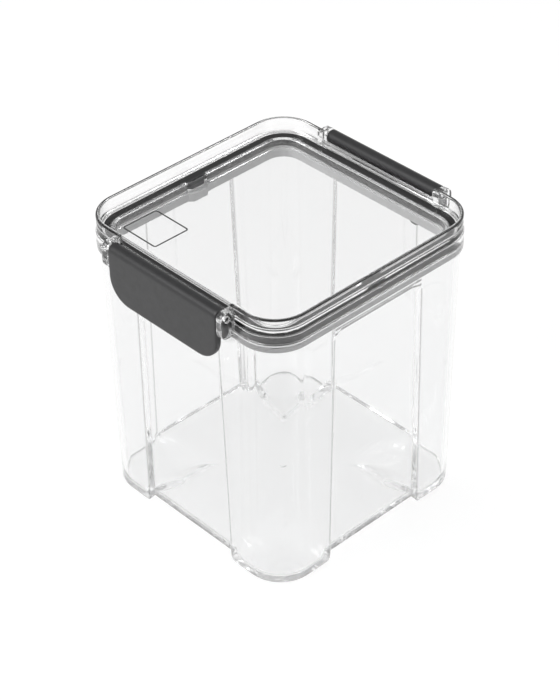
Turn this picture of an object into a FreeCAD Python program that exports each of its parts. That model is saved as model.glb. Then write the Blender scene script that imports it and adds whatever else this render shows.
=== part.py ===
import FreeCAD, Part
import math
import os
from FreeCAD import Vector

# Square storage canister with a clear lid, a gasket and two flap latches, in millimetres.
# The origin is the middle of the footprint on the surface that the feet stand on, and +Z is up.
# The latches hang on the -Y and +Y sides.

# Widths that the whole container follows
rim_width = 110.0
rim_wall = 1.6
rim_corner_radius = 15.6
ledge = 0.4
stack_clearance = 0.2

# Canister walls
canister_height = 120.4
base_corner_radius = 15.9
wall = 2.0
foot_edge_round = 1.4

# Flange round the canister mouth
flange_overhang = 1.1
flange_thickness = 3.0

# Recessed panel in each wall
panel_depth = 1.2
panel_head_width = 46.0
panel_foot_width = 50.0
panel_top_gap = 1.9
panel_shoulder = 2.4
panel_side_slope = 0.4
panel_corner_cut = 3.0

# Arches between the corner feet, and the floor
arch_height = 3.5
floor_thickness = 2.0
gate_mark_radius = 1.8
gate_mark_height = 0.4

# Lid
rim_rise = 6.0
rim_gap_rise = 1.0
deck_thickness = 2.0
skirt_wall = 2.2
skirt_clearance = 0.2
ledge_rise = 0.5
ledge_notch_width = 1.6
plug_wall = 1.4
plug_drop = 5.4
bead_reach = 0.5
bead_height = 0.8
bead_clearance = 0.2
bay_margin = 2.5
bay_depth = 0.2

# Gasket
gasket_height = 3.6
gasket_width = 3.8
gasket_clearance = 0.05
tab_length = 10.0
tab_reach = 1.9
tab_clearance = 0.5

# Latches, their hinge and the ears that carry them
latch_width = 61.2
latch_drop = 21.2
latch_corner_radius = 10.5
latch_thickness = 2.8
latch_edge_round = 0.7
barrel_radius = 3.0
barrel_gap = 0.35
hinge_drop = 4.3
hook_thickness = 1.8
hook_clearance = 0.3
hook_width = 40.0
hook_lead = 0.7
cheek_thickness = 1.6
cheek_gap = 0.8
pin_radius = 1.3
pin_clearance = 0.05
pin_end_gap = 0.6
ear_thickness = 3.0
ear_gap = 0.4
ear_cover = 0.15
ear_lip = 1.5
ear_lower_round = 3.2
ear_flange_gap = 0.5

# How far every cut runs past the face that it opens
overrun = 2.0

# Heights, from the feet up
flange_bottom = canister_height - flange_thickness
skirt_bottom = canister_height + skirt_clearance
deck_bottom = canister_height + gasket_height
deck_top = deck_bottom + deck_thickness
rim_top = deck_top + rim_rise
rim_gap_level = deck_top + rim_gap_rise
skirt_top = deck_bottom + ledge_rise
bead_top = canister_height - bead_clearance
bead_bottom = bead_top - bead_height
plug_bottom = canister_height - plug_drop
hinge_height = rim_top - hinge_drop
latch_bottom = hinge_height - latch_drop
flap_bend = latch_bottom + latch_corner_radius
ear_bottom = skirt_bottom - ear_lip

# Distances from the middle plane
rim_half = rim_width / 2
rim_inner_half = rim_half - rim_wall
corner_centre = rim_half - rim_corner_radius
flange_half = rim_half + ledge
neck_half = flange_half - flange_overhang
base_half = rim_inner_half - stack_clearance
skirt_inner_half = flange_half - skirt_wall
gasket_outer_half = skirt_inner_half - gasket_clearance
gasket_inner_half = gasket_outer_half - gasket_width
plug_half = gasket_inner_half - gasket_clearance
hinge_half = rim_half + barrel_gap + barrel_radius
latch_half = latch_width / 2
latch_face = hinge_half + barrel_radius
ear_inner = latch_half + ear_gap
ear_outer = ear_inner + ear_thickness
ear_radius = barrel_radius + ear_cover
ear_face = hinge_half + ear_radius
bay_half = ear_outer + bay_margin
hook_tip = neck_half + hook_clearance
pin_tip = ear_outer - pin_end_gap

# Rise and reach of the middle of a quarter circle, as a share of its radius
arc_share = math.sqrt(0.5)


def arc(start, middle, end):
    """Round edge through three points."""
    return Part.Arc(start, middle, end).toShape()


def lines(points):
    """Straight edges from point to point."""
    return [Part.makeLine(start, end) for start, end in zip(points, points[1:])]


def rounded_square(half, radius, z):
    """Level wire of a square with round corners."""
    side = half - radius
    middle = side + radius * arc_share
    edges = []
    for turn in range(4):
        straight = Part.makeLine(Vector(half, -side, z), Vector(half, side, z))
        corner = arc(Vector(half, side, z), Vector(middle, middle, z), Vector(side, half, z))
        for edge in (straight, corner):
            edge.rotate(Vector(0, 0, 0), Vector(0, 0, 1), 90 * turn)
            edges.append(edge)
    return Part.Wire(edges)


def slab(half, z_low, z_high):
    """Upright block with a rounded square outline, whose corners share their centres with the rim's."""
    outline = rounded_square(half, half - corner_centre, z_low)
    return Part.Face(outline).extrude(Vector(0, 0, z_high - z_low))


def block(x_span, y_span, z_span):
    """Box between the two ends of each span."""
    sizes = [span[1] - span[0] for span in (x_span, y_span, z_span)]
    return Part.makeBox(*sizes, Vector(x_span[0], y_span[0], z_span[0]))


def polygon(points):
    """Flat face round a list of points."""
    return Part.Face(Part.makePolygon(points + points[:1]))


def turned(shape, degrees):
    """Copy turned about the upright middle line."""
    copy = shape.copy()
    copy.rotate(Vector(0, 0, 0), Vector(0, 0, 1), degrees)
    return copy


def on_sides(shape, turns):
    """Copies of a shape that is made for the +X side, one for each angle."""
    return [turned(shape, degrees) for degrees in turns]


def wall_half(z):
    """Half width of the canister's outside at a height: the walls lean out evenly."""
    return base_half + (neck_half - base_half) * z / flange_bottom


def wall_radius(z):
    """Corner radius of the canister's outside at a height."""
    neck_corner_radius = neck_half - corner_centre
    return base_corner_radius + (neck_corner_radius - base_corner_radius) * z / flange_bottom


def leaning_block(inset, z_low, z_high):
    """Block with the canister's leaning walls, drawn in by an inset."""
    outlines = []
    for z in (z_low, z_high):
        outlines.append(rounded_square(wall_half(z) - inset, wall_radius(z) - inset, z))
    return Part.makeLoft(outlines, True, True)


def panel_outline(inset, grow, rise):
    """Corner points of a panel on the +X side, at a depth below the wall and grown all round."""
    top = flange_bottom - panel_top_gap + rise
    low = -overrun
    head = panel_head_width / 2 + grow
    foot = panel_foot_width / 2 + grow
    cut = panel_corner_cut
    half_row = [(foot, low), (head, top - cut), (head - cut, top)]
    row = half_row + [(-y, z) for y, z in reversed(half_row)]
    return Part.makePolygon([Vector(wall_half(z) - inset, y, z) for y, z in row + row[:1]])


def panel(inset, grow):
    """Tool that sinks a panel into the +X wall, wider at its mouth than at its floor."""
    floor = panel_outline(inset + panel_depth, grow, -panel_shoulder)
    mouth = panel_outline(inset - panel_depth, grow + 2 * panel_side_slope, panel_shoulder)
    return Part.makeLoft([floor, mouth], True, True)


def canister_outside():
    """Leaning walls with round foot edges, sunk panels and arches between the feet."""
    walls = leaning_block(0, 0, flange_bottom)
    foot_edges = [edge for edge in walls.Edges if edge.BoundBox.ZMax < foot_edge_round]
    walls = walls.makeFillet(foot_edge_round, foot_edges)
    arch_half = panel_foot_width / 2
    reach = base_half + overrun
    arch = block((-reach, reach), (-arch_half, arch_half), (-overrun, arch_height))
    cuts = on_sides(panel(0, 0), (0, 90, 180, 270)) + on_sides(arch, (0, 90))
    return walls.cut(cuts)


def canister_inside():
    """Space inside the walls: follows the panels, with a pocket in each foot."""
    space = leaning_block(wall, floor_thickness, canister_height + overrun)
    floor_half = panel_foot_width / 2 + wall
    raised = block((-base_half, base_half), (-floor_half, floor_half), (0, arch_height + floor_thickness))
    return space.cut(on_sides(panel(wall, wall), (0, 90, 180, 270)) + on_sides(raised, (0, 90)))


def latch_bay(z_low, z_high):
    """Tool that sets the edge back behind each latch."""
    face = flange_half - bay_depth
    bay = block((face, flange_half + overrun), (-bay_half, bay_half), (z_low, z_high))
    return on_sides(bay, (90, 270))


def make_canister_body():
    """Canister with its flange and the gate mark under its floor."""
    flange = slab(flange_half, flange_bottom, canister_height)
    flange = flange.cut(latch_bay(flange_bottom - overrun, canister_height + overrun))
    gate_mark = Part.makeCylinder(gate_mark_radius, gate_mark_height + floor_thickness,
                                  Vector(0, 0, arch_height - gate_mark_height))
    body = canister_outside().fuse(flange).cut(canister_inside())
    return body.fuse(gate_mark).removeSplitter()


def make_rim():
    """Deck with the upstand round it, lowered between the ears on both latch sides."""
    rim = slab(rim_half, deck_bottom, rim_top)
    recess = slab(rim_inner_half, deck_top, rim_top + overrun)
    gap = block((rim_inner_half - overrun, rim_half + overrun), (-ear_inner, ear_inner),
                (rim_gap_level, rim_top + overrun))
    return rim.cut([recess] + on_sides(gap, (90, 270)))


def make_skirt():
    """Band below the deck edge, over the flange, with a notch in the middle of each plain side."""
    skirt = slab(flange_half, skirt_bottom, skirt_top)
    hollow = slab(skirt_inner_half, skirt_bottom - overrun, deck_bottom)
    notch_half = ledge_notch_width / 2
    notch = block((rim_half, flange_half + overrun), (-notch_half, notch_half),
                  (deck_bottom, skirt_top + overrun))
    cuts = [hollow] + latch_bay(skirt_bottom - overrun, skirt_top + overrun)
    return skirt.cut(cuts + on_sides(notch, (0, 180)))


def make_plug():
    """Wall under the deck that guides the lid, with a bead under the gasket and a window for each of its tabs."""
    plug = slab(plug_half, plug_bottom, deck_bottom)
    bead = slab(plug_half + bead_reach, bead_bottom, bead_top)
    hollow = slab(plug_half - plug_wall, plug_bottom - overrun, deck_bottom)
    window_half = tab_length / 2 + tab_clearance
    window = block((plug_half - plug_wall - overrun, plug_half + bead_reach + overrun),
                   (-window_half, window_half), (bead_bottom, deck_bottom))
    return plug.fuse(bead).cut([hollow] + on_sides(window, (0, 180)))


def ear_outline(x):
    """Ear of the -Y side seen from its end: round about the hinge, straight outside, round again below."""
    bend = ear_bottom + ear_lower_round
    dip = ear_lower_round * (1 - arc_share)
    crown = arc(Vector(x, -ear_face, hinge_height),
                Vector(x, -hinge_half - ear_radius * arc_share, hinge_height + ear_radius * arc_share),
                Vector(x, -hinge_half, hinge_height + ear_radius))
    inside = lines([Vector(x, -hinge_half, hinge_height + ear_radius),
                    Vector(x, -rim_inner_half, hinge_height + ear_radius),
                    Vector(x, -rim_inner_half, skirt_bottom),
                    Vector(x, -flange_half - ear_flange_gap, skirt_bottom),
                    Vector(x, -flange_half - ear_flange_gap, ear_bottom),
                    Vector(x, -ear_face + ear_lower_round, ear_bottom)])
    toe = arc(Vector(x, -ear_face + ear_lower_round, ear_bottom),
              Vector(x, -ear_face + dip, ear_bottom + dip),
              Vector(x, -ear_face, bend))
    outside = lines([Vector(x, -ear_face, bend), Vector(x, -ear_face, hinge_height)])
    return Part.Face(Part.Wire([crown] + inside + [toe] + outside))


def make_ears():
    """Four ears, each with a bore for one stub pin."""
    bore_radius = pin_radius + pin_clearance
    ears = []
    for x in (ear_inner, -ear_outer):
        ear = ear_outline(x).extrude(Vector(ear_thickness, 0, 0))
        bore = Part.makeCylinder(bore_radius, ear_thickness + 2 * overrun,
                                 Vector(x - overrun, -hinge_half, hinge_height), Vector(1, 0, 0))
        ears += [turned(ear.cut(bore), degrees) for degrees in (0, 180)]
    return ears


def make_lid():
    """Lid in one piece: deck, rim, skirt, plug and ears."""
    return make_rim().fuse([make_skirt(), make_plug()] + make_ears()).removeSplitter()


def make_gasket():
    """Ring between the plug wall and the skirt, with a pull tab through each window of the plug."""
    ring = slab(gasket_outer_half, canister_height, deck_bottom)
    ring = ring.cut(slab(gasket_inner_half, canister_height - overrun, deck_bottom + overrun))
    root = gasket_inner_half + gasket_width / 2
    tip = gasket_inner_half - tab_reach
    half_row = [(root, tab_length / 2), (gasket_inner_half, tab_length / 2),
                (tip, tab_length / 2 - tab_reach)]
    row = half_row + [(x, -y) for x, y in reversed(half_row)]
    tab = polygon([Vector(x, y, canister_height) for x, y in row]).extrude(Vector(0, 0, gasket_height))
    return ring.fuse(on_sides(tab, (0, 180))).removeSplitter()


def flap_outline(y):
    """Flap of the -Y side seen from the front: square at the hinge, round at both lower corners."""
    side = latch_half - latch_corner_radius
    bulge = side + latch_corner_radius * arc_share
    dip = flap_bend - latch_corner_radius * arc_share
    right = arc(Vector(side, y, latch_bottom), Vector(bulge, y, dip), Vector(latch_half, y, flap_bend))
    left = arc(Vector(-latch_half, y, flap_bend), Vector(-bulge, y, dip), Vector(-side, y, latch_bottom))
    sides = lines([Vector(latch_half, y, flap_bend), Vector(latch_half, y, hinge_height),
                   Vector(-latch_half, y, hinge_height), Vector(-latch_half, y, flap_bend)])
    bottom = lines([Vector(-side, y, latch_bottom), Vector(side, y, latch_bottom)])
    return Part.Face(Part.Wire([right] + sides + [left] + bottom))


def make_flap():
    """Plate of the latch, with its outer edge rounded below the hinge."""
    plate = flap_outline(-latch_face).extrude(Vector(0, latch_thickness, 0))
    middle = -latch_face + latch_thickness / 2
    outer = [edge for edge in plate.Edges if edge.BoundBox.YMax < middle]
    below = [edge for edge in outer if edge.CenterOfMass.z < hinge_height - latch_edge_round]
    return plate.makeFillet(latch_edge_round, below)


def make_hook():
    """Rib behind the flap that grips under the flange, with a sloped lead below its tip."""
    back = -latch_face + latch_thickness / 2
    top = flange_bottom - hook_clearance
    low = top - hook_thickness
    row = [(back, low), (-hook_tip - hook_lead, low), (-hook_tip, low + hook_lead),
           (-hook_tip, top), (back, top)]
    section = polygon([Vector(-hook_width / 2, y, z) for y, z in row])
    return section.extrude(Vector(hook_width, 0, 0))


def make_cheeks():
    """Upright end walls behind the flap, under the barrel."""
    y_span = (-latch_face + latch_thickness / 2, -flange_half - cheek_gap)
    cheeks = []
    for x in (-latch_half, latch_half - cheek_thickness):
        cheeks.append(block((x, x + cheek_thickness), y_span, (flap_bend, hinge_height)))
    return cheeks


def make_latch(turn):
    """One latch: barrel with stub pins, flap, end walls and hook."""
    barrel = Part.makeCylinder(barrel_radius, latch_width,
                               Vector(-latch_half, -hinge_half, hinge_height), Vector(1, 0, 0))
    pins = Part.makeCylinder(pin_radius, 2 * pin_tip,
                             Vector(-pin_tip, -hinge_half, hinge_height), Vector(1, 0, 0))
    latch = barrel.fuse([pins, make_flap(), make_hook()] + make_cheeks())
    return turned(latch.removeSplitter(), turn)


os.makedirs("parts", exist_ok=True)
pieces = {
    "canister_body": make_canister_body(),
    "lid": make_lid(),
    "gasket": make_gasket(),
    "latch_front": make_latch(0),
    "latch_rear": make_latch(180),
}
for name, shape in pieces.items():
    shape.exportStep("parts/" + name + ".step")
    box = shape.BoundBox
    print(name, len(shape.Solids), "solid", shape.isValid(), round(shape.Volume), "mm3",
          [round(v, 2) for v in (box.XMin, box.XMax, box.YMin, box.YMax, box.ZMin, box.ZMax)])
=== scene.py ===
"""Looks of a square clear storage canister with a latched lid, a dark gasket and two flap latches.

Lengths are in millimetres, in the part's own frame, and become metres when a piece is made.
"""
import math

import bpy
import numpy as np
from mathutils import Matrix, Vector


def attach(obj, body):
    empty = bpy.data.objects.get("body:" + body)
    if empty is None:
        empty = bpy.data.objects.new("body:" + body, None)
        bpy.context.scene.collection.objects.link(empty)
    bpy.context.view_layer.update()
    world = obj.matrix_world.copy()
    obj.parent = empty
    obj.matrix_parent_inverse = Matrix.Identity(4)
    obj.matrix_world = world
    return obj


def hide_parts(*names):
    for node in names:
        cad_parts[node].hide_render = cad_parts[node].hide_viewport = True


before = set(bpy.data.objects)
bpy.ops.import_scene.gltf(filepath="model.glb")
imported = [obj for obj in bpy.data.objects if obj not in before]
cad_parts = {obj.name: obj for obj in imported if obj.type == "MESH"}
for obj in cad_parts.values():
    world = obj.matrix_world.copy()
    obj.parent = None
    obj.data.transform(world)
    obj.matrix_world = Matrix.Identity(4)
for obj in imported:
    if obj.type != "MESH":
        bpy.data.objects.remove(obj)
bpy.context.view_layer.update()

MM = 0.001
ROOT2 = math.sqrt(2)

# Directions in a profile of (half width, height) points
OUT, IN = np.array([1, 0]), np.array([-1, 0])
UP, DOWN = np.array([0, 1]), np.array([0, -1])

# Widths from the middle plane, as in the solids
base_half = 53.2
neck_half = 54.3
flange_half = 55.4
rim_half = 55.0
rim_inner_half = 53.4
skirt_inner_half = 53.2
gasket_outer_half = 53.15
gasket_inner_half = 49.35
plug_half = 49.3
plug_wall = 1.4
wall = 2.0
rim_corner_centre = 39.4
base_corner_centre = 37.3

# Heights, from the feet up
arch_height = 3.5
floor_thickness = 2.0
flange_bottom = 117.4
canister_height = 120.4
plug_bottom = 119.45
guide_bottom = 115.5
guide_top = 119.4
bead_top = 120.2
skirt_bottom = 120.6
deck_bottom = 124.0
skirt_top = 124.5
deck_top = 126.0
rim_gap_level = 127.0
rim_top = 132.0

# Recessed panels, arches, and the floor's raised cross and gate mark
panel_depth = 1.2
panel_head_half = 23.0
panel_foot_half = 25.0
panel_floor_top = 113.1
panel_shoulder = 2.4
panel_side_slope = 2.4
panel_brow = 0.4
panel_corner_cut = 3.0
arch_ramp_wall = 3.0
arch_ramp_floor = 16.0
inner_cross_grow = 2.8
gate_mark_radius = 1.8
gate_mark_height = 0.2
gate_mark_fade_in = 0.2
gate_mark_fade_out = 0.1

# Rounded edges
foot_round = 0.8
arch_round = 0.6
inner_floor_round = 1.8
mouth_round = 0.4
flange_round = 0.3
rim_round = 0.6
rim_end_round = 1.2
deck_fillet = 2.0
plug_root_round = 0.4
ledge_root_round = 0.1
small_round = 0.25

# Lid details
ear_inner = 31.0
ear_outer = 34.0
bay_half = 36.5
bay_depth = 0.2
bay_ramp = 0.2
notch_half = 0.8
notch_depth = 0.5
notch_ramp = 0.1
slot_half = 5.5
slot_ramp = 0.2
slot_share = 0.985
seat_margin = 0.05
plug_head_gap = 0.2
rim_foot_rise = 0.6
rim_line_drop = 0.15
low_rim_round_share = 0.7
low_rim_fillet_share = 0.55

# Gasket and the guide ring below it
tab_half = 5.0
tab_reach = 1.9
tab_clearance = 0.4
gasket_round = 0.45
bead_reach = 0.5
bead_edge = 0.2
bead_back_gap = 0.03
guide_rows = (118.0, 116.6)

# Latches and hinge
hinge_half = 58.35
hinge_height = 127.7
barrel_radius = 3.0
latch_half = 30.6
latch_thickness = 2.8
latch_bottom = 106.5
latch_corner = 10.5
latch_round = 0.7
pin_radius = 1.3
pin_tip = 33.4
pin_edge = 0.3
hook_half = 20.0
hook_tip = 54.6
hook_top = 117.1
hook_bottom = 115.3
hook_lead = 0.7
hook_edge = 0.3
cheek_thickness = 1.6
cheek_face = 56.2
cheek_slope = 3.0
cheek_inset = 0.1
cheek_edge = 0.2
ear_radius = 3.15
ear_root = 54.3
ear_step = 55.9
ear_step_round = 0.3
ear_bottom = 119.1
ear_lower_round = 3.2
ear_round = 0.35
bore_radius = 1.35

# Blank frame printed on the deck, where a label can be written
frame_middle = (-31.7, -36.2)
frame_size = (19.6, 17.7)
frame_corner = 1.4
frame_line = 0.7
frame_thickness = 0.04
frame_lift = 0.01

# Painted shade: dark lines along the plastic's edges, standing in for dark refractions and contact shade
# there; how far each line reaches, and its strength
rim_tone_roundings = 2.2
rim_tone_margin = 0.05
flange_tone_depth = 0.35
flange_tone_margin = 0.2
wall_tone_depth = 0.3
wall_tone_margin = 0.2
shoulder_tone_half = 0.45
lower_tone_start = 0.1
lower_tone_end = 0.6
lower_tone = 0.9
upright_tone_half = 0.25
upright_tone_gap = 2.0
upright_tone = 0.8

# A distance past every corner, for the lines that run through the corners
FAR = 1000.0

# Lines of the nets from the middle of a side to its corner, close together at the edges of each form
canister_stations = [0, 0.6, 1.2, 1.65, 1.95, 2.6, 4.5, 7.5, 11, 14.5, 17.5, 19.2, 20, 20.6, 21.2, 21.7,
                     22.1, 22.4, 22.7, 22.9, 23.05, 23.2, 23.4, 23.6, 23.8, 24, 24.2, 24.4, 24.6, 24.75,
                     24.95, 25.4, 26.2, 27.5, 29.5, 32, 34.5, 36.2, 36.4, 36.6, 36.8]
lid_stations = [0, 0.7, 0.76, 0.84, 0.9, 2.5, 4.5, 5.38, 5.46, 5.54, 5.62, 8, 11, 14.5, 18, 21.5, 25, 28,
                30, 30.7, 30.97, 31, 31.04, 31.12, 31.25, 31.45, 31.75, 32.2, 33, 34, 35.2, 36.2, 36.4,
                36.47, 36.53, 36.6, 37.2, 38.4]
ring_stations = [0, 1.5, 3, 3.2, 3.6, 4, 4.4, 4.8, 5, 5.2, 8, 12, 16, 20, 24, 28, 32, 36]

# Where along a side the canister's lines stop moving with the panels, up to a margin before the bay's end
follow_start = 25.4
follow_margin = 0.3

# Heights of the canister's rings, close together across the panels' shoulders
wall_rows = [2.4, 4, 7, 12, 20, 32, 46, 60, 74, 86, 96, 103, 107]
shoulder_rows = np.arange(109, 115.8, 0.4)
neck_rows = [116.2, 116.7]
inner_neck_rows = [119, 117.5, 116.4]
inner_shoulder_rows = np.arange(115.6, 109, -0.4)
inner_wall_rows = [107, 103, 96, 86, 74, 60, 46, 32, 20, 12, 8, 6]

# Steps of the rounded forms
canister_corner_steps = 9
lid_corner_steps = 10
latch_corner_steps = 8
round_steps = 4
fine_round_steps = 6
guide_round_steps = 3
ledge_root_steps = 2
ear_arc_steps = 12
ear_head_steps = 5
ear_root_steps = 13
ear_low_steps = 2
ear_face_steps = 8
ear_edge_steps = 3
flap_side_steps = 11
flap_rise_steps = 8
flap_wrap_steps = 18
pin_sides = 24
frame_corner_steps = 6

# Points on the same step of this grid are one point, and faces past this angle meet in a sharp edge
weld_steps_per_mm = 1e4
sharp_angle = 38.0


def eased(value, low, high):
    """Smooth step: 0 up to low, 1 from high, and 3s^2 - 2s^3 of the share s between them."""
    share = np.clip((value - low) / (high - low), 0, 1)
    return share * share * (3 - 2 * share)


def within(value, half, ramp):
    """1 inside plus or minus half, 0 outside, eased across a ramp centred on the edge."""
    return 1 - eased(np.abs(value), half - ramp / 2, half + ramp / 2)


def stations(straight, corner_steps):
    """Lines across a rounded square, from end to end, as a pair (t, turn).

    t is the place along the straight part, and turn the share of a corner: root 2 times the sine of an even
    run of angles up to 45 degrees, so that the corner's points lie evenly on its arc.
    """
    angles = np.linspace(0, math.pi / 4, corner_steps + 1)
    t = np.concatenate([straight, np.full(corner_steps + 1, FAR)])
    turn = np.concatenate([np.zeros(len(straight)), ROOT2 * np.sin(angles)])
    return np.concatenate([-t[:0:-1], t]), np.concatenate([-turn[:0:-1], turn])


def border(count):
    """Row and column of each point on the border of a square net, anticlockwise from above."""
    up = np.arange(count - 1)
    down = count - 1 - up
    low, high = np.zeros(count - 1, int), np.full(count - 1, count - 1)
    return np.concatenate([high, down, low, up]), np.concatenate([up, high, down, low])


def border_lines(lines):
    """The x line and the y line through each point of a net's border, each a pair (t, turn)."""
    t, turn = lines
    i, j = border(len(t))
    return (t[i][None], turn[i][None]), (t[j][None], turn[j][None])


def rounded(half, centre, across, along, inset_x=0.0, inset_y=0.0):
    """Points of a rounded square from the x lines (across) and y lines (along), each a pair (t, turn).

    x = t held to the corner centre + (half - centre - inset) turn_x sqrt(1 - turn_y^2 / 2), and y likewise.
    That bends each square corner block into a quarter disc.
    """
    (t_x, turn_x), (t_y, turn_y) = across, along
    x = np.clip(t_x, -centre, centre) + (half - centre - inset_x) * turn_x * np.sqrt(1 - turn_y ** 2 / 2)
    y = np.clip(t_y, -centre, centre) + (half - centre - inset_y) * turn_y * np.sqrt(1 - turn_x ** 2 / 2)
    return x, y


def stacked(x, y, z):
    """One array of points from three arrays that spread to the same shape."""
    return np.stack(np.broadcast_arrays(x, y, z), axis=-1)


def rounded_edge(half, z, radius, before, after, steps=round_steps):
    """Quarter circle in a profile, at a corner that is reached from one direction and left in another.

    P = corner + radius (before (1 - sin a) + after (1 - cos a)), with a from 0 to 90 degrees.
    """
    angle = np.linspace(0, math.pi / 2, steps + 1)[:, None]
    return np.array([half, z]) + radius * (before * (1 - np.sin(angle)) + after * (1 - np.cos(angle)))


def arc(middle, radius, angle):
    """Points of a circle's arc about a middle, one for each angle from the first axis."""
    return np.stack([middle[0] + radius * np.cos(angle), middle[1] + radius * np.sin(angle)], axis=-1)


def sheet_faces(rows, columns, close_rows=False, close_columns=False):
    """Corner numbers of the quads of a grid of points, joined end to end where it closes."""
    row = np.arange(rows if close_rows else rows - 1)[:, None]
    column = np.arange(columns if close_columns else columns - 1)[None, :]
    below, right = (row + 1) % rows, (column + 1) % columns
    here, there = row * columns, below * columns
    corners = [here + column, here + right, there + right, there + column]
    return np.stack(np.broadcast_arrays(*corners), axis=-1).reshape(-1, 4)


def shell(under, rings, over):
    """Closed skin from a net for the underside, rings carried on from its border, and a net for the top."""
    count = len(under)
    i, j = border(count)
    loop = i * count + j
    net = sheet_faces(count, count)
    ring_count, around = rings.shape[:2]
    ring_start = count * count
    over_start = ring_start + ring_count * around
    ring_faces = sheet_faces(ring_count, around, close_columns=True) + ring_start
    first = ring_start + np.arange(around)
    last = first + (ring_count - 1) * around
    after = np.roll(np.arange(around), -1)
    low_joint = np.stack([loop, loop[after], first[after], first], axis=-1)
    high_joint = np.stack([last, last[after], over_start + loop[after], over_start + loop], axis=-1)
    points = np.concatenate([part.reshape(-1, 3) for part in (under, rings, over)])
    return points, np.concatenate([net, low_joint, ring_faces, high_joint, net[:, ::-1] + over_start])


def tube(rings, closed=False):
    """Closed skin from rings of points; ends that shrink to a point close by themselves when welded."""
    points = rings.reshape(-1, 3)
    return points, sheet_faces(rings.shape[0], rings.shape[1], close_rows=closed, close_columns=True)


def mirrored(skin, axis):
    """Mirror image of a skin, with its faces turned back to point outwards."""
    points, faces = skin
    flip = np.ones(3)
    flip[axis] = -1
    return points * flip, faces[:, ::-1]


def turned_round(skin):
    """Skin turned half a turn about the upright middle line."""
    points, faces = skin
    return points * np.array([-1, -1, 1]), faces


def joined(skins):
    """Several skins as one list of points and faces."""
    starts = np.cumsum([0] + [len(points) for points, _ in skins[:-1]])
    faces = [faces + start for (_, faces), start in zip(skins, starts)]
    return np.concatenate([points for points, _ in skins]), np.concatenate(faces)


def welded(skin):
    """Joins points on the same spot, then splits the faces into quads and the triangles left at poles."""
    points, faces = skin
    spots = np.round(points * weld_steps_per_mm).astype(np.int64)
    _, first, same = np.unique(spots, axis=0, return_index=True, return_inverse=True)
    faces = same.reshape(-1)[faces]
    repeats = faces == np.roll(faces, -1, axis=1)
    doubled = repeats.sum(axis=1)
    one = doubled == 1
    triangles = faces[one][~repeats[one]].reshape(-1, 3)
    return points[first], faces[doubled == 0], triangles


def make_piece(name, skin, material, body, nodes=(), painted_shade=None):
    """Mesh object from a skin, riding on a body and standing for solids; an optional function of the points
    marks painted shade lines along its edges.
    """
    points, quads, triangles = welded(skin)
    mesh = bpy.data.meshes.new(name)
    mesh.from_pydata((points * MM).tolist(), [], quads.tolist() + triangles.tolist())
    mesh.validate()
    mesh.shade_smooth()
    mesh.set_sharp_from_angle(angle=math.radians(sharp_angle))
    # Painted shade along the edges, kept as a point attribute for the material
    if painted_shade:
        painted_edge_shade = mesh.attributes.new("painted_edge_shade", "FLOAT", "POINT")
        painted_edge_shade.data.foreach_set("value", painted_shade(points).astype(np.float32))
    mesh.materials.append(material)
    piece = bpy.data.objects.new(name, mesh)
    bpy.context.scene.collection.objects.link(piece)
    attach(piece, body)
    if nodes:
        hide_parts(*nodes)


def wall_half(z):
    """Half width of the canister's outside at a height: the walls lean out evenly."""
    return base_half + (neck_half - base_half) * z / flange_bottom


def wall_centre(z):
    """Corner centre of the canister's wall at a height."""
    return base_corner_centre + (rim_corner_centre - base_corner_centre) * z / flange_bottom


def panel_half(z):
    """Half width of a panel at a height: it narrows evenly from foot to head."""
    climb = np.clip(z / (panel_floor_top - panel_corner_cut), 0, 1)
    return panel_foot_half + (panel_head_half - panel_foot_half) * climb


def panel_inset(t, z):
    """How far a panel sinks at t along a side: full inside its outline, eased across slopes and shoulder."""
    side = np.abs(t) - panel_half(z) - panel_brow + panel_side_slope
    over_side = side / panel_side_slope
    over_top = (z - panel_floor_top) / panel_shoulder
    cut = side + z - (panel_floor_top - panel_corner_cut)
    over_cut = cut / (panel_side_slope + panel_shoulder)
    return panel_depth * (1 - eased(np.maximum(np.maximum(over_side, over_top), over_cut), 0, 1))


def follow_panel(t, half):
    """Lines along a side moved with a panel's edge, so that they keep their places on its slope.

    The line at the panel head's half width lands on the slope's foot, and the shift fades out past the slope.
    """
    fade = 1 - np.clip((np.abs(t) - follow_start) / (bay_half - follow_margin - follow_start), 0, 1)
    shift = half - panel_head_half + panel_brow - panel_side_slope
    return t + shift * np.clip(t / panel_head_half, -1, 1) * fade


def foot_rounding(t):
    """Radius of the lower edge: large at the feet, small under the arches."""
    return foot_round + (arch_round - foot_round) * within(t, panel_foot_half, arch_ramp_wall)


def arch_ramp(turn):
    """Length of an arch's end slope: short at the wall, long across the floor."""
    return arch_ramp_floor + (arch_ramp_wall - arch_ramp_floor) * np.abs(turn)


def arch_rise(across, along, half):
    """Rise of the floor: the full arch height on the cross between the four feet."""
    (t_x, turn_x), (t_y, turn_y) = across, along
    beam_along_y = within(t_x, half, arch_ramp(turn_y))
    beam_along_x = within(t_y, half, arch_ramp(turn_x))
    return arch_height * np.maximum(beam_along_y, beam_along_x)


def canister_net(lines, half, edge, z, tuck, panel):
    """Floor net: a rounded square, raised between the feet and drawn in by a tuck and by the panels."""
    t, turn = lines
    t = follow_panel(t, edge)
    t_x, t_y = t[:, None], t[None, :]
    inset_x = tuck(t_y) + panel * panel_inset(t_y, 0.0)
    inset_y = tuck(t_x) + panel * panel_inset(t_x, 0.0)
    across, along = (t_x, turn[:, None]), (t_y, turn[None, :])
    x, y = rounded(half, base_corner_centre, across, along, inset_x, inset_y)
    return x, y, z + arch_rise(across, along, edge)


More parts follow.
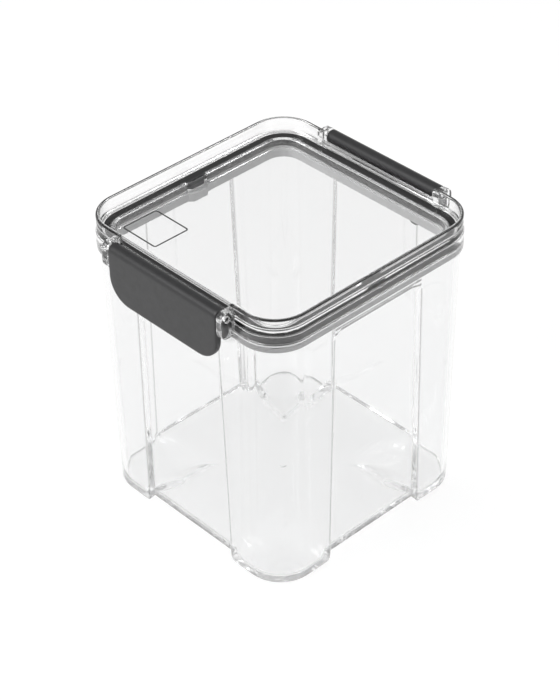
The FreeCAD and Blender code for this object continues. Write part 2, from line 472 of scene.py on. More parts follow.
def canister_rings(lines, half, centre, z, edge, share=0.0, tuck=0.0, lift=0.0, panel=0.0, grow=0.0, bay=0.0):
    """Rings of the canister's wall, one for each row of numbers.

    Each ring is a rounded square drawn in by the panels, the foot rounding and the latch bays,
    and lifted over the arches by a share that fades out up the wall.
    """
    numbers = (half, centre, z, edge, share, tuck, lift, panel, grow, bay)
    spread = np.broadcast_arrays(*[np.asarray(number, float) for number in numbers])
    half, centre, z, edge, share, tuck, lift, panel, grow, bay = (row.reshape(-1, 1) for row in spread)
    (t_x, turn_x), (t_y, turn_y) = border_lines(lines)
    t_x, t_y = follow_panel(t_x, edge), follow_panel(t_y, edge)
    bay_inset = bay * bay_depth * within(t_x, bay_half, bay_ramp)
    inset_x = tuck * foot_rounding(t_y) + panel * panel_inset(t_y, z)
    inset_y = tuck * foot_rounding(t_x) + panel * panel_inset(t_x, z) + bay_inset
    across, along = (t_x, turn_x), (t_y, turn_y)
    x, y = rounded(half, centre, across, along, inset_x, inset_y)
    rounding = np.minimum(foot_rounding(t_x), foot_rounding(t_y))
    rise = arch_rise(across, along, panel_foot_half + grow)
    return stacked(x, y, z + lift * rounding + share * rise)


def canister_outside(lines):
    """Rings up the outside: the rounded lower edge of feet and arches, then the leaning wall with panels."""
    angle = np.linspace(0, math.pi / 2, fine_round_steps + 1)[1:]
    foot = canister_rings(lines, base_half, base_corner_centre, 0.0, panel_foot_half, share=1.0,
                          tuck=1 - np.sin(angle), lift=1 - np.cos(angle), panel=1.0)
    z = np.concatenate([wall_rows, shoulder_rows, neck_rows])
    share = 1 - z / flange_bottom
    walls = canister_rings(lines, wall_half(z), wall_centre(z), z, panel_half(z), share, panel=1.0)
    return [foot, walls]


def canister_mouth(lines):
    """Rings from the neck out under the flange, up its face and over the mouth."""
    neck = rounded_edge(neck_half, flange_bottom, flange_round, DOWN, OUT)
    flange = np.concatenate([
        rounded_edge(flange_half, flange_bottom, flange_round, IN, UP),
        rounded_edge(flange_half, canister_height, flange_round, DOWN, IN),
    ])
    mouth = rounded_edge(wall_half(canister_height) - wall, canister_height, mouth_round, OUT, DOWN)
    inner_edge = panel_head_half + inner_cross_grow
    return [
        canister_rings(lines, neck[:, 0], rim_corner_centre, neck[:, 1], panel_head_half),
        canister_rings(lines, flange[:, 0], rim_corner_centre, flange[:, 1], panel_head_half, bay=1.0),
        canister_rings(lines, mouth[:, 0], rim_corner_centre, mouth[:, 1], inner_edge),
    ]


def canister_inside(lines):
    """Rings down the plain inner wall and round into the floor of the foot pockets."""
    inner_floor_edge = floor_thickness + inner_floor_round
    z = np.concatenate([inner_neck_rows, inner_shoulder_rows, inner_wall_rows, [inner_floor_edge]])
    share = 1 - (z - floor_thickness) / (canister_height - floor_thickness)
    edge = panel_half(z) + inner_cross_grow
    walls = canister_rings(lines, wall_half(z) - wall, wall_centre(z), z, edge, share, grow=inner_cross_grow)
    pocket = rounded_edge(base_half - wall, floor_thickness, inner_floor_round, UP, IN, fine_round_steps)
    pocket = pocket[1:-1]
    pockets = canister_rings(lines, pocket[:, 0], base_corner_centre, pocket[:, 1],
                             panel_foot_half + inner_cross_grow, share=1.0, grow=inner_cross_grow)
    return [walls, pockets]


def canister_skin():
    """Canister as one closed skin: floor net, outer wall, flange, mouth, inner wall and inner floor net."""
    lines = stations(canister_stations, canister_corner_steps)
    x, y, z = canister_net(lines, base_half, panel_foot_half, 0.0, tuck=foot_rounding, panel=1.0)
    mark_edge = gate_mark_radius - gate_mark_fade_in, gate_mark_radius + gate_mark_fade_out
    under = stacked(x, y, z - gate_mark_height * (1 - eased(np.hypot(x, y), *mark_edge)))
    rings = np.concatenate(canister_outside(lines) + canister_mouth(lines) + canister_inside(lines))
    inner_half = base_half - wall - inner_floor_round
    inner_edge = panel_foot_half + inner_cross_grow
    over = canister_net(lines, inner_half, inner_edge, floor_thickness, tuck=np.zeros_like, panel=0.0)
    return shell(under, rings, stacked(*over))


def rim_level(t):
    """Height of the rim's top along a latch side: low between the ears, with a rounded step at each end."""
    past = np.abs(t) - ear_inner
    drop = rim_end_round - np.clip(past, 0, rim_end_round)
    crown = rim_top - rim_end_round + np.sqrt(rim_end_round ** 2 - drop ** 2)
    return np.where(past < 0, rim_gap_level, crown)


def lid_rings(lines, profile, bay=0.0, raised=None):
    """Rings of the lid from a profile of (half width, height) points; raised(z, t_x, t_y) moves heights."""
    half, z = profile[:, :1], profile[:, 1:]
    across, along = border_lines(lines)
    t_x, t_y = across[0], along[0]
    inset_y = bay * bay_depth * within(t_x, bay_half, bay_ramp)
    x, y = rounded(half, rim_corner_centre, across, along, 0.0, inset_y)
    return stacked(x, y, z if raised is None else raised(z, t_x, t_y))


def deck_net(lines, half, z):
    """Flat rounded square."""
    t, turn = lines
    x, y = rounded(half, rim_corner_centre, (t[:, None], turn[:, None]), (t[None, :], turn[None, :]))
    return stacked(x, y, z)


def with_slot(z, t_x, t_y):
    """Plug wall cut away up to the deck where the gasket's tabs pass on the plain sides."""
    return deck_bottom - (deck_bottom - z) * (1 - slot_share * within(t_y, slot_half, slot_ramp))


def with_notch(z, t_x, t_y):
    """Ledge dropped in the middle of the plain sides."""
    return z - notch_depth * within(t_y, notch_half, notch_ramp)


def with_gap_outside(z, t_x, t_y):
    """Outer rim face stretched between the ledge and the rim's top."""
    return skirt_top + (z - skirt_top) * (rim_level(t_x) - skirt_top) / (rim_top - skirt_top)


def with_gap_inside(z, t_x, t_y):
    """Inner rim face: the top rounding hangs from the rim's top, the fillet stands on the deck."""
    rise = rim_level(t_x) - deck_top
    hung = rise - (rim_top - z) * np.minimum(1, low_rim_round_share * rise)
    stood = (z - deck_top) * np.minimum(1, low_rim_fillet_share * rise)
    return deck_top + np.where(z > (deck_top + rim_top) / 2, hung, stood)


def lid_skin():
    """Deck, rim, skirt and plug as one closed skin, from below the deck out to the rim and over the deck."""
    lines = stations(lid_stations, lid_corner_steps)
    plug_inner = plug_half - plug_wall
    plug = np.concatenate([
        rounded_edge(plug_inner, deck_bottom, plug_root_round, IN, DOWN)[1:],
        rounded_edge(plug_inner, plug_bottom, small_round, UP, OUT),
        rounded_edge(plug_half, plug_bottom, small_round, IN, UP),
        [(plug_half, deck_bottom - plug_head_gap)],
    ])
    seat = np.array([(plug_half + seat_margin, deck_bottom), (skirt_inner_half - seat_margin, deck_bottom)])
    skirt_inner_edge = rounded_edge(skirt_inner_half, skirt_bottom, small_round, UP, OUT)
    skirt_outer_edge = rounded_edge(flange_half, skirt_bottom, small_round, IN, UP)
    ledge_edge = rounded_edge(flange_half, skirt_top, small_round, DOWN, IN)
    ledge_root = rounded_edge(rim_half, skirt_top, ledge_root_round, OUT, UP, ledge_root_steps)
    rim_outside = np.concatenate([
        [(rim_half, skirt_top + rim_foot_rise), (rim_half, rim_top - rim_round - rim_line_drop)],
        rounded_edge(rim_half, rim_top, rim_round, DOWN, IN, fine_round_steps),
    ])
    rim_inside = np.concatenate([
        rounded_edge(rim_inner_half, rim_top, rim_round, OUT, DOWN, fine_round_steps),
        rounded_edge(rim_inner_half, deck_top, deck_fillet, UP, IN, fine_round_steps)[:-1],
    ])
    rings = np.concatenate([
        lid_rings(lines, plug, raised=with_slot),
        lid_rings(lines, seat),
        lid_rings(lines, skirt_inner_edge),
        lid_rings(lines, skirt_outer_edge, bay=1.0),
        lid_rings(lines, ledge_edge, bay=1.0, raised=with_notch),
        lid_rings(lines, ledge_root, raised=with_notch),
        lid_rings(lines, rim_outside, raised=with_gap_outside),
        lid_rings(lines, rim_inside, raised=with_gap_inside),
    ])
    under = deck_net(lines, plug_inner - plug_root_round, deck_bottom)
    over = deck_net(lines, rim_inner_half - deck_fillet, deck_top)
    return shell(under, rings, over)


def ear_outline():
    """Ear seen from its end, as (distance out, height) points: round about the hinge and at its toe."""
    face, top = hinge_half + ear_radius, hinge_height + ear_radius
    toe_out, toe_up = face - ear_lower_round, ear_bottom + ear_lower_round
    crown = np.linspace(0, math.pi / 2, ear_arc_steps + 1)
    toe = crown - math.pi / 2
    return np.concatenate([
        arc((hinge_half, hinge_height), ear_radius, crown),
        np.linspace((hinge_half, top), (ear_root, top), ear_head_steps + 1)[1:],
        np.linspace((ear_root, top), (ear_root, skirt_bottom), ear_root_steps + 1)[1:],
        [(ear_step, skirt_bottom), (ear_step, ear_bottom + ear_step_round)],
        np.linspace((ear_step + ear_step_round, ear_bottom), (toe_out, ear_bottom), ear_low_steps + 1)[:-1],
        arc((toe_out, toe_up), ear_lower_round, toe),
        np.linspace((face, toe_up), (face, hinge_height), ear_face_steps + 1)[1:-1],
    ])


def ear_skin():
    """Ear of the front side at its +X end: a plate with rounded edges and a bore, carried round as a ring.

    Each point of the outline pairs with the bore's point in the same direction from the hinge line. The
    section between them goes over one face, round the edge, over the other face and back through the bore.
    """
    outline = ear_outline()
    hinge = np.array([hinge_half, hinge_height])
    ray = outline - hinge
    reach = np.linalg.norm(ray, axis=1, keepdims=True)
    ray = ray / reach
    angle = np.linspace(0, math.pi / 2, ear_edge_steps + 1)
    inward, sideways = ear_round * (1 - np.sin(angle)), ear_round * (1 - np.cos(angle))
    draw = np.concatenate([inward, inward[::-1]])
    edge = hinge + ray[None] * (reach[None] - draw[:, None, None])
    bore = np.broadcast_to(hinge + ray[None] * bore_radius, (2,) + outline.shape)
    plane = np.concatenate([bore[:1], edge, bore[1:]])
    x = np.concatenate([[ear_inner], ear_inner + sideways, ear_outer - sideways[::-1], [ear_outer]])[:, None]
    return tube(stacked(x, -plane[..., 0], plane[..., 1])[::-1], closed=True)


def square_half(points, centre):
    """Half width of the rounded square that a point lies on, from its distance past the corner centre."""
    past = np.maximum(np.abs(points[:, :2]) - centre, 0)
    return centre + np.hypot(past[:, 0], past[:, 1])


def lid_painted_edge_shade(points):
    """Painted shade on the rim's outer top edge: a dark line standing in for the dark surroundings that the
    edge refracts where the eye meets the plastic edge on.
    """
    z = points[:, 2]
    roundings_in = (rim_half - square_half(points, rim_corner_centre)) / rim_round
    return np.clip(rim_tone_roundings - roundings_in, 0, 1) * (z > rim_top - rim_round - rim_tone_margin)


def canister_painted_edge_shade(points):
    """Painted shade lines on the flange's face and on the panels' shoulders and upright edges, standing in
    for dark refractions there, and on the lower edge, standing in for contact shade.
    """
    z = points[:, 2]
    half = square_half(points, rim_corner_centre)
    side = np.minimum(np.abs(points[:, 0]), np.abs(points[:, 1]))
    above = z - arch_height * within(side, panel_foot_half, arch_ramp_wall)
    inside_panel = wall_half(z) - panel_depth
    on_wall = (half > inside_panel - wall_tone_depth) * (half < wall_half(z) + wall_tone_margin)

    on_flange = (z > flange_bottom + flange_tone_margin) * (z < canister_height - flange_tone_margin)
    flange = (half > flange_half - flange_tone_depth) * on_flange
    head = np.abs(z - panel_floor_top) < shoulder_tone_half
    brow = np.abs(z - panel_floor_top - panel_shoulder) < shoulder_tone_half
    shoulder = on_wall * (side < panel_head_half) * (head | brow)
    on_slope = np.abs(side - panel_half(z) - panel_brow) < upright_tone_half
    upright = on_wall * on_slope * (above > foot_round) * (z < panel_floor_top - upright_tone_gap)
    lower = (half > inside_panel - foot_round) * (above > lower_tone_start) * (above < lower_tone_end)
    return np.max([flange, shoulder, lower_tone * lower, upright_tone * upright], axis=0)


def ring_skin(profile, drawn, half_tab):
    """Closed ring: a profile of (half width, height) points carried round the lid's rounded square.

    The rows of the profile that are drawn step in by the pull tab's reach in the middle of the plain sides.
    """
    across, along = border_lines(stations(ring_stations, lid_corner_steps))
    tab = tab_reach * np.clip((half_tab - np.abs(along[0])) / tab_reach, 0, 1)
    x, y = rounded(profile[:, :1], rim_corner_centre, across, along, drawn * tab, 0.0)
    return tube(stacked(x, y, profile[:, 1:]), closed=True)


def gasket_skin():
    """Ring of rounded square section, with a pull tab on the inner edge of each plain side."""
    inner = np.concatenate([
        rounded_edge(gasket_inner_half, deck_bottom, gasket_round, OUT, DOWN),
        rounded_edge(gasket_inner_half, canister_height, gasket_round, UP, OUT),
    ])
    outer = np.concatenate([
        rounded_edge(gasket_outer_half, canister_height, gasket_round, IN, UP),
        rounded_edge(gasket_outer_half, deck_bottom, gasket_round, DOWN, IN),
    ])
    profile = np.concatenate([inner, outer])
    is_inner = (np.arange(len(profile)) < len(inner))[:, None]
    return ring_skin(profile, is_inner, tab_half)


def guide_ring_skin():
    """Frosted guide below the gasket: a ring with a bead on its top edge, bulging in round each pull tab."""
    inner, bead_half = plug_half - plug_wall, plug_half + bead_reach
    bead_back = plug_half + bead_back_gap
    profile = np.concatenate([
        rounded_edge(inner, guide_top, small_round, OUT, DOWN, guide_round_steps),
        [(inner, row) for row in guide_rows],
        rounded_edge(inner, guide_bottom, small_round, UP, OUT, guide_round_steps),
        rounded_edge(plug_half, guide_bottom, small_round, IN, UP, guide_round_steps),
        [(plug_half, guide_top - bead_edge), (bead_half, guide_top), (bead_half, bead_top - bead_edge)],
        [(bead_half - bead_edge, bead_top), (bead_back, bead_top), (bead_back, guide_top)],
    ])
    return ring_skin(profile, 1.0, tab_half + tab_clearance)


def flap_side(lines, depth, spread, front):
    """One side of the flap and barrel: a net whose lower corners bend into quarter discs.

    Going up, the net leaves the plate's straight part and follows the barrel's arc to the ridge line that
    both sides share. depth draws the face in towards the middle of its section, and spread lets the outline
    out sideways and down.
    """
    (t, turn), (drop, climb) = lines
    side = latch_half - latch_corner
    reach = latch_corner - latch_round + spread
    bend = latch_bottom + latch_corner
    turn_x, turn_v = turn[:, None], drop[None, :]
    x = np.clip(t[:, None], -side, side) + reach * turn_x * np.sqrt(1 - turn_v ** 2 / 2)
    face = barrel_radius - depth
    if front:
        straight_top = hinge_height
        start, out = math.pi, -hinge_half - face
    else:
        out = -hinge_half - (barrel_radius - latch_thickness) - depth
        straight_top = hinge_height - math.sqrt(face ** 2 - (out + hinge_half) ** 2)
        start = math.atan2(straight_top - hinge_height, out + hinge_half)
    up = np.clip(climb, 0, 1)[None, :]
    angle = start + (math.pi / 4 - start) * np.clip(climb - 1, 0, 1)[None, :]
    z = bend + (straight_top - bend) * up + reach * turn_v * np.sqrt(1 - turn_x ** 2 / 2)
    on_barrel = climb[None, :] > 1
    y = np.where(on_barrel, -hinge_half + face * np.cos(angle), out)
    z = np.where(on_barrel, hinge_height + face * np.sin(angle), z)
    return stacked(x, y, z)


def flap_skin():
    """Flap and barrel as one closed skin: a front net, a back net and a rounded edge between them.

    The edge goes down one end, along the foot and up the other end.
    """
    straight = np.linspace(0, latch_half - latch_corner, flap_side_steps + 1)[:-1]
    t, turn = stations(straight, latch_corner_steps)
    low = ROOT2 * np.sin(np.linspace(-math.pi / 4, 0, latch_corner_steps + 1))
    rise, wrap = np.linspace(0, 1, flap_rise_steps + 1)[1:], 1 + np.linspace(0, 1, flap_wrap_steps + 1)[1:]
    climb = np.concatenate([np.zeros(len(low)), rise, wrap])
    drop = np.concatenate([low, np.zeros(len(rise) + len(wrap))])
    lines = (t, turn), (drop, climb)
    columns, rows = len(t), len(drop)

    angle = np.linspace(0, math.pi / 2, round_steps + 1)
    steps = list(zip(latch_round * (1 - np.cos(angle)), latch_round * np.sin(angle)))
    fronts = [flap_side(lines, depth, spread, True) for depth, spread in steps]
    backs = [flap_side(lines, depth, spread, False) for depth, spread in steps]
    edge_i = np.concatenate([np.zeros(rows - 1, int), np.arange(columns), np.full(rows - 1, columns - 1)])
    edge_j = np.concatenate([np.arange(rows - 1, 0, -1), np.zeros(columns, int), np.arange(1, rows)])
    strip = np.stack([net[edge_i, edge_j] for net in fronts + backs[::-1]])
    return joined([
        (fronts[0].reshape(-1, 3), sheet_faces(columns, rows)[:, ::-1]),
        (strip.reshape(-1, 3), sheet_faces(*strip.shape[:2])[:, ::-1]),
        (backs[0].reshape(-1, 3), sheet_faces(columns, rows)),
    ])


def bar_skin(section, x_low, x_high, edge):
    """Bar along x from a closed section of (y, z) points, its ends drawn in by an edge and closed."""
    section = np.array(section, float)
    middle = section.mean(axis=0)
    inward = middle - section
    inward = inward / np.linalg.norm(inward, axis=1, keepdims=True)
    drawn = section + inward * edge
    tip = np.broadcast_to(middle, section.shape)
    rows = np.stack([tip, drawn, section, section, drawn, tip])
    x = np.array([x_low, x_low, x_low + edge, x_high - edge, x_high, x_high])[:, None]
    return tube(stacked(x, rows[..., 0], rows[..., 1]))


def latch_skin():
    """Front latch: flap with barrel, hook rib, two end walls and two stub pins."""
    back = -hinge_half - barrel_radius + latch_thickness / 2
    hook = [(back, hook_bottom), (-hook_tip - hook_lead, hook_bottom), (-hook_tip, hook_bottom + hook_lead),
            (-hook_tip, hook_top), (back, hook_top)]
    bend = latch_bottom + latch_corner
    cheek = [(back, bend), (-cheek_face, bend + cheek_slope), (-cheek_face, hinge_height),
             (back, hinge_height)]
    angle = np.linspace(0, 2 * math.pi, pin_sides + 1)[:-1]
    pin = arc((-hinge_half, hinge_height), pin_radius, angle)
    cheek_low = latch_half - cheek_thickness
    right_end = [
        bar_skin(cheek, cheek_low, latch_half - cheek_inset, cheek_edge),
        bar_skin(pin, cheek_low, pin_tip, pin_edge),
    ]
    left_end = [mirrored(half, 0) for half in right_end]
    return joined([flap_skin(), bar_skin(hook, -hook_half, hook_half, hook_edge)] + right_end + left_end)


def write_on_frame_skin():
    """Thin rounded rectangle line lying on the deck: an outline and its inset, joined by four strips."""
    corner = np.linspace(0, math.pi / 2, frame_corner_steps + 1)
    angle = np.concatenate([corner + quarter * math.pi / 2 for quarter in range(4)])
    sign_x = np.repeat([1, -1, -1, 1], len(corner))
    sign_y = np.repeat([1, 1, -1, -1], len(corner))
    grow = np.array([0, 0, -frame_line, -frame_line])[:, None]
    rise = np.array([0, frame_thickness, frame_thickness, 0])[:, None]
    x = frame_middle[0] + sign_x * (frame_size[0] / 2 - frame_corner) + (frame_corner + grow) * np.cos(angle)
    y = frame_middle[1] + sign_y * (frame_size[1] / 2 - frame_corner) + (frame_corner + grow) * np.sin(angle)
    return tube(stacked(x, y, deck_top + frame_lift + rise), closed=True)


# Clear plastic: refraction, and the patterns of its gloss and flow waves, in steps per metre and metres
plastic_ior = 1.5
gloss_scale = 220
gloss_detail = 4.0
wave_scale = 45
wave_detail = 2.0
wave_strength = 0.02
wave_depth = 0.0004
clear_gloss = (0.0, 0.02)

# Opaque finishes: the cloud of their colour and the fine speckle that raises the surface
grain_detail = 5.0
grain_roughness = 0.6
gloss_grain_share = 0.6
speckle_detail = 2.0
speckle_strength = 0.4
colour_low_share = 0.35
colour_high_share = 0.65

# Range of a noise pattern that is spread over a finish
noise_low = 0.3
noise_high = 0.7


def new_material(name):
    """Empty node material; returns it with a function that adds nodes and one that links sockets."""
    material = bpy.data.materials.new(name)
    material.use_nodes = True
    tree = material.node_tree
    tree.nodes.clear()
    return material, tree.nodes.new, tree.links.new


def noise(add, link, scale, detail=3.0, rough=0.5):
    """Noise on the piece's own coordinates, with its scale in steps per metre."""
    place = add("ShaderNodeTexCoord")
    cloud = add("ShaderNodeTexNoise")
    cloud.inputs["Scale"].default_value = scale
    cloud.inputs["Detail"].default_value = detail
    cloud.inputs["Roughness"].default_value = rough
    link(place.outputs["Object"], cloud.inputs["Vector"])
    return cloud.outputs["Fac"]


def ranged(add, link, value, low, high):
    """Noise spread between two limits."""
    spread = add("ShaderNodeMapRange")
    spread.inputs["From Min"].default_value = noise_low
    spread.inputs["From Max"].default_value = noise_high
    spread.inputs["To Min"].default_value = low
    spread.inputs["To Max"].default_value = high
    link(value, spread.inputs["Value"])
    return spread.outputs["Result"]


def bumped(add, link, height, strength, distance):
    """Normal from a height pattern."""
    bump = add("ShaderNodeBump")
    bump.inputs["Strength"].default_value = strength
    bump.inputs["Distance"].default_value = distance
    link(height, bump.inputs["Height"])
    return bump.outputs["Normal"]


def painted_edge_shade_tint(add, link, tint, edge):
    """Tint that falls to a painted dark shade along the edges marked on the mesh, standing in for dark
    refractions and contact shade.
    """
    painted_shade = add("ShaderNodeAttribute")
    painted_shade.attribute_name = "painted_edge_shade"
    mix = add("ShaderNodeMix")
    mix.data_type = "RGBA"
    link(painted_shade.outputs["Fac"], mix.inputs["Factor"])
    low, high = (socket for socket in mix.inputs if socket.type == "RGBA")
    low.default_value, high.default_value = (*tint, 1), (*edge, 1)
    return next(socket for socket in mix.outputs if socket.type == "RGBA")


def clear_plastic(name, tint, shade, rough=clear_gloss, clearness=1.0, edge=None):
    """Moulded clear plastic: slow flow waves, a faint uneven gloss, and shadows that let lamps through."""
    material, add, link = new_material(name)
    body = add("ShaderNodeBsdfPrincipled")
    body.inputs["Base Color"].default_value = (*tint, 1)
    # edge is the colour of the painted shade lines along the marked edges
    if edge:
        link(painted_edge_shade_tint(add, link, tint, edge), body.inputs["Base Color"])
    body.inputs["Transmission Weight"].default_value = clearness
    body.inputs["IOR"].default_value = plastic_ior
    gloss = noise(add, link, gloss_scale, gloss_detail)
    waves = noise(add, link, wave_scale, wave_detail)
    link(ranged(add, link, gloss, *rough), body.inputs["Roughness"])
    link(bumped(add, link, waves, wave_strength, wave_depth), body.inputs["Normal"])
    open_shadow = add("ShaderNodeBsdfTransparent")
    open_shadow.inputs["Color"].default_value = (*shade, 1)
    path = add("ShaderNodeLightPath")
    mix = add("ShaderNodeMixShader")
    link(path.outputs["Is Shadow Ray"], mix.inputs["Fac"])
    link(body.outputs["BSDF"], mix.inputs[1])
    link(open_shadow.outputs["BSDF"], mix.inputs[2])
    out = add("ShaderNodeOutputMaterial")
    link(mix.outputs["Shader"], out.inputs["Surface"])
    return material


def solid_plastic(name, dark, pale, rough, grain, speckle, depth):
    """Opaque plastic or rubber: colour and gloss vary with a cloud, and a fine speckle raises the surface."""
    material, add, link = new_material(name)
    body = add("ShaderNodeBsdfPrincipled")
    ramp = add("ShaderNodeValToRGB")
    low, high = ramp.color_ramp.elements
    low.position, high.position = colour_low_share, colour_high_share
    low.color, high.color = (*dark, 1), (*pale, 1)
    link(noise(add, link, grain, grain_detail, grain_roughness), ramp.inputs["Fac"])
    link(ramp.outputs["Color"], body.inputs["Base Color"])
    link(ranged(add, link, noise(add, link, grain * gloss_grain_share), *rough), body.inputs["Roughness"])
    speckles = noise(add, link, speckle, speckle_detail)
    link(bumped(add, link, speckles, speckle_strength, depth), body.inputs["Normal"])
    out = add("ShaderNodeOutputMaterial")
    link(body.outputs["BSDF"], out.inputs["Surface"])
    return material


# The edge colours below are painted shade: near-black lines on the canister's and lid's marked edges
clear_canister = clear_plastic("clear_canister_plastic", tint=(0.95, 0.952, 0.953), shade=(0.90, 0.90, 0.90),
                               edge=(0.12, 0.12, 0.12))
clear_lid = clear_plastic("clear_lid_plastic", tint=(0.995, 0.995, 0.995), shade=(0.93, 0.93, 0.93),
                          edge=(0.01, 0.01, 0.01))
frosted_guide = clear_plastic("frosted_guide_plastic", tint=(0.56, 0.56, 0.565), shade=(0.8, 0.8, 0.8),
                              rough=(0.3, 0.4), clearness=0.35)
gasket_rubber = solid_plastic("gasket_silicone", dark=(0.014, 0.014, 0.015), pale=(0.02, 0.02, 0.021),
                              rough=(0.5, 0.65), grain=400, speckle=3000, depth=0.00003)
latch_plastic = solid_plastic("latch_satin_plastic", dark=(0.014, 0.014, 0.015), pale=(0.018, 0.018, 0.019),
                              rough=(0.34, 0.42), grain=500, speckle=4000, depth=0.000015)
frame_ink = solid_plastic("frame_ink", dark=(0.03, 0.03, 0.03), pale=(0.06, 0.06, 0.06),
                          rough=(0.5, 0.6), grain=900, speckle=4000, depth=0.00001)

ear = ear_skin()
ears = [ear, mirrored(ear, 0), turned_round(ear), turned_round(mirrored(ear, 0))]
latch = latch_skin()
make_piece("clear_canister_shell", canister_skin(), clear_canister, "canister", ["canister_body"],
           canister_painted_edge_shade)
make_piece("clear_lid_shell", joined([lid_skin()] + ears), clear_lid, "lid", ["lid"],
           lid_painted_edge_shade)
make_piece("frosted_guide_ring", guide_ring_skin(), frosted_guide, "lid")
make_piece("gasket_ring", gasket_skin(), gasket_rubber, "lid", ["gasket"])
make_piece("front_flap_latch", latch, latch_plastic, "latch_front", ["latch_front"])
make_piece("rear_flap_latch", turned_round(latch), latch_plastic, "latch_rear", ["latch_rear"])
make_piece("write_on_frame", write_on_frame_skin(), frame_ink, "lid")


# Camera: its place, and the directions to its right and to its back
camera_place = Vector((494.98, -460.38, 578.81)) * MM
camera_right = Vector((0.6888, 0.7248, -0.0156))
camera_back = Vector((0.5834, -0.5414, 0.6055))
camera_lens = 107.5
camera_sensor = 36.0
camera_far = 20.0

# Studio: floor, surroundings by height share from straight down to straight up, and lamps
light_bounces = 64
floor_half = 3000.0
floor_drop = 0.05
floor_lines = 5
floor_grey = 0.9
floor_glow_share = 0.72
studio_white = 1.0
ambient_grey = 0.79
sky_greys = [(0.5, 1.0), (0.62, 0.42), (0.84, 0.42), (1.0, 0.75)]
lamp_target = (0, 0, 60)
softboxes = [
    {"name": "key_softbox", "place": (-350, -1000, 900), "size": 900, "power": 11.0},
    {"name": "top_softbox", "place": (350, 550, 1000), "size": 500, "power": 1.0},
    {"name": "edge_softbox", "place": (400, 700, 1000), "size": 150, "power": 0.8},
    {"name": "side_softbox", "place": (1000, 100, 500), "size": 600, "power": 1.5},
]


def make_camera():
    """Camera at its place, turned by its right and back directions."""
    data = bpy.data.cameras.new("camera")
    data.lens = camera_lens
    data.sensor_width = camera_sensor
    data.clip_end = camera_far
    camera = bpy.data.objects.new("camera", data)
    back = camera_back.normalized()
    up = back.cross(camera_right).normalized()
    right = up.cross(back)
    turn = Matrix((right, up, back)).transposed().to_4x4()
    camera.matrix_world = Matrix.Translation(camera_place) @ turn
    bpy.context.scene.collection.objects.link(camera)
    bpy.context.scene.camera = camera


def grey_colour(grey):
    """Colour with the same red, green and blue."""
    return grey, grey, grey, 1


def seen_rays(add, link):
    """1 for rays from the camera and for those that glossy or clear surfaces send on."""
    path = add("ShaderNodeLightPath")
    first = add("ShaderNodeMath")
    first.operation = "MAXIMUM"
    link(path.outputs["Is Camera Ray"], first.inputs[0])
    link(path.outputs["Is Glossy Ray"], first.inputs[1])
    both = add("ShaderNodeMath")
    both.operation = "MAXIMUM"
    link(first.outputs[0], both.inputs[0])
    link(path.outputs["Is Transmission Ray"], both.inputs[1])
    return both.outputs[0]


def floor_material():
    """Plain white: mostly an even white for the camera, with a share of lit surface that keeps the shadow."""
    material, add, link = new_material("studio_floor")
    lit = add("ShaderNodeBsdfDiffuse")
    lit.inputs["Color"].default_value = grey_colour(floor_grey)
    glow = add("ShaderNodeEmission")
    glow.inputs["Color"].default_value = grey_colour(studio_white)
    share = add("ShaderNodeMath")
    share.operation = "MULTIPLY"
    share.inputs[1].default_value = floor_glow_share
    link(seen_rays(add, link), share.inputs[0])
    mix = add("ShaderNodeMixShader")
    link(share.outputs[0], mix.inputs["Fac"])
    link(lit.outputs["BSDF"], mix.inputs[1])
    link(glow.outputs["Emission"], mix.inputs[2])
    out = add("ShaderNodeOutputMaterial")
    link(mix.outputs["Shader"], out.inputs["Surface"])
    return material


def make_floor():
    """Flat square just below the feet."""
    line = np.linspace(-floor_half, floor_half, floor_lines)
    points = stacked(line[:, None], line[None, :], -floor_drop).reshape(-1, 3) * MM
    mesh = bpy.data.meshes.new("studio_floor")
    mesh.from_pydata(points.tolist(), [], sheet_faces(floor_lines, floor_lines)[:, ::-1].tolist())
    mesh.materials.append(floor_material())
    floor = bpy.data.objects.new("studio_floor", mesh)
    bpy.context.scene.collection.objects.link(floor)


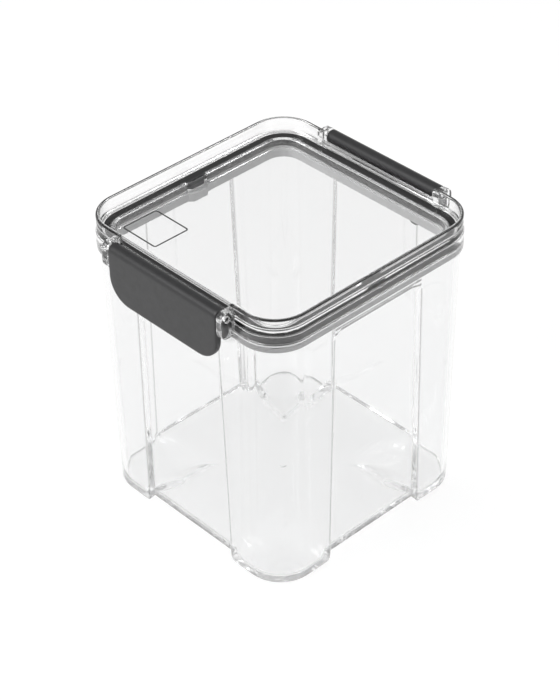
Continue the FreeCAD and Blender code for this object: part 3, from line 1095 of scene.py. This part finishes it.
def make_world():
    """Surroundings: white up to the horizon and grey above it where they are seen, an even grey as light."""
    world = bpy.data.worlds.new("studio")
    world.use_nodes = True
    tree = world.node_tree
    tree.nodes.clear()
    add, link = tree.nodes.new, tree.links.new
    place = add("ShaderNodeTexCoord")
    split = add("ShaderNodeSeparateXYZ")
    link(place.outputs["Generated"], split.inputs[0])
    height = add("ShaderNodeMapRange")
    height.inputs["From Min"].default_value = -1.0
    link(split.outputs["Z"], height.inputs["Value"])
    ramp = add("ShaderNodeValToRGB")
    stops = ramp.color_ramp.elements
    stops[0].position, stops[1].position = sky_greys[0][0], sky_greys[-1][0]
    stops[0].color, stops[1].color = grey_colour(sky_greys[0][1]), grey_colour(sky_greys[-1][1])
    for height_share, grey in sky_greys[1:-1]:
        stops.new(height_share).color = grey_colour(grey)
    link(height.outputs["Result"], ramp.inputs["Fac"])
    mix = add("ShaderNodeMix")
    mix.data_type = "RGBA"
    link(seen_rays(add, link), mix.inputs["Factor"])
    even, shown = (socket for socket in mix.inputs if socket.type == "RGBA")
    even.default_value = grey_colour(ambient_grey)
    link(ramp.outputs["Color"], shown)
    background = add("ShaderNodeBackground")
    link(next(socket for socket in mix.outputs if socket.type == "RGBA"), background.inputs["Color"])
    out = add("ShaderNodeOutputWorld")
    link(background.outputs["Background"], out.inputs["Surface"])
    bpy.context.scene.world = world


def make_softbox(name, place, size, power):
    """Square soft lamp at a place, turned to the lamps' target, with its power in watts."""
    data = bpy.data.lights.new(name, "AREA")
    data.shape = "SQUARE"
    data.size = size * MM
    data.energy = power
    lamp = bpy.data.objects.new(name, data)
    place, target = Vector(place) * MM, Vector(lamp_target) * MM
    lamp.location = place
    lamp.rotation_mode = "QUATERNION"
    lamp.rotation_quaternion = (target - place).to_track_quat("-Z", "Y")
    bpy.context.scene.collection.objects.link(lamp)


make_camera()
make_floor()
make_world()
for softbox in softboxes:
    make_softbox(**softbox)

scene = bpy.context.scene
scene.view_settings.view_transform = "Standard"
for limit in ("max_bounces", "glossy_bounces", "transmission_bounces", "transparent_max_bounces"):
    setattr(scene.cycles, limit, light_bounces)
